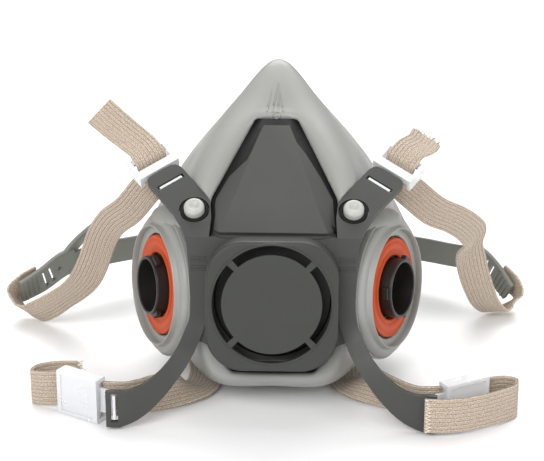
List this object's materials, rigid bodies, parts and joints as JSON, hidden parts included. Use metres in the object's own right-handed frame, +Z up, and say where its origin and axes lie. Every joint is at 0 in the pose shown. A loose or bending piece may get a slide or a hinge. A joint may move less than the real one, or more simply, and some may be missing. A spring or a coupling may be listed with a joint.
{
  "type": "half-face respirator",
  "caption": "Reusable half-face respirator with a soft facepiece, bayonet filter ports, an exhalation valve, a harness yoke, knitted straps with slide buckles and a head cradle.",
  "frame": {"origin": "on the floor, under the middle of the box round the resting object", "axes": "+X to the wearer's left, +Y from the front of the mask towards the wearer, +Z up"},
  "size_m": [0.2432, 0.1898, 0.1319],
  "materials": {
    "elastomer": "satin moulded",
    "panel": "satin moulded",
    "cover": "satin moulded",
    "yoke": "satin moulded",
    "stud": "satin moulded",
    "port": "satin moulded",
    "gasket": "smooth",
    "flap": "smooth translucent",
    "seat": "satin moulded",
    "buckle": "milky clear",
    "strap": "knitted elastic",
    "cradle": "satin moulded",
    "clip": "satin moulded"
  },
  "bodies": {
    "mask": {"face_seal": "elastomer", "front_frame": "panel", "harness_yoke": "yoke", "valve_seat": "seat", "yoke_stud_left": "stud", "yoke_stud_right": "stud", "inlet_port_left": "port", "inlet_port_right": "port", "inlet_gasket_left": "gasket", "inlet_gasket_right": "gasket", "strap_upper_left": "strap", "strap_upper_right": "strap", "strap_lower_left": "strap", "strap_lower_right": "strap", "neck_clip_loop": "clip"},
    "buckle_upper_left": {"buckle_upper_left": "buckle"},
    "buckle_upper_right": {"buckle_upper_right": "buckle"},
    "buckle_lower_left": {"buckle_lower_left": "buckle"},
    "buckle_lower_right": {"buckle_lower_right": "buckle"},
    "head_cradle": {"head_cradle": "cradle"},
    "neck_clip_hook": {"neck_clip_hook": "clip"},
    "exhalation_cover": {"exhalation_cover": "cover"},
    "exhalation_flap": {"exhalation_flap": "flap"},
    "inhalation_flap_left": {"inhalation_flap_left": "flap"},
    "inhalation_flap_right": {"inhalation_flap_right": "flap"}
  },
  "joints": [
    {"name": "buckle_upper_left_hinge", "type": "hinge", "parent": "mask", "child": "buckle_upper_left", "pos_m": [0.04987, -0.04194, 0.09043], "axis": [-0.8011, 0.4903, 0.3433], "range_deg": [-5, 20], "deforming": ["strap_upper_left"]},
    {"name": "buckle_upper_right_hinge", "type": "hinge", "parent": "mask", "child": "buckle_upper_right", "pos_m": [-0.0373, -0.04194, 0.09043], "axis": [-0.8011, -0.4903, -0.3433], "range_deg": [-5, 20], "deforming": ["strap_upper_right"]},
    {"name": "buckle_lower_left_hinge", "type": "hinge", "parent": "mask", "child": "buckle_lower_left", "pos_m": [0.07039, -0.09041, 0.00985], "axis": [0, 0, 1], "range_deg": [-15, 25], "deforming": ["strap_lower_left"]},
    {"name": "buckle_lower_right_hinge", "type": "hinge", "parent": "mask", "child": "buckle_lower_right", "pos_m": [-0.05781, -0.09041, 0.00985], "axis": [0, 0, -1], "range_deg": [-15, 25], "deforming": ["strap_lower_right"]},
    {"name": "cradle_swing", "type": "hinge", "parent": "mask", "child": "head_cradle", "pos_m": [-0.00027, 0.02929, 0.01304], "axis": [0.9978, 0.0651, -0.013], "range_deg": [-12, 35], "deforming": ["strap_upper_left", "strap_upper_right"]},
    {"name": "neck_clip_swivel", "type": "hinge", "parent": "mask", "child": "neck_clip_hook", "pos_m": [0.00009, 0.03979, 0.00814], "axis": [0, 0, 1], "range_deg": [-12, 0], "deforming": ["strap_lower_left"]},
    {"name": "exhalation_cover_release", "type": "slide", "parent": "mask", "child": "exhalation_cover", "axis": [0, -0.9848, 0.1736], "range_m": [0, 0.012]},
    {"name": "exhalation_flap_lift", "type": "slide", "parent": "mask", "child": "exhalation_flap", "axis": [0, -0.9848, 0.1736], "range_m": [0, 0.0015], "stiffness_N_per_m": 20},
    {"name": "inhalation_flap_left_lift", "type": "slide", "parent": "mask", "child": "inhalation_flap_left", "axis": [-0.8949, 0.4394, -0.0775], "range_m": [0, 0.0015], "stiffness_N_per_m": 20},
    {"name": "inhalation_flap_right_lift", "type": "slide", "parent": "mask", "child": "inhalation_flap_right", "axis": [0.8949, 0.4394, -0.0775], "range_m": [0, 0.0015], "stiffness_N_per_m": 20}
  ]
}
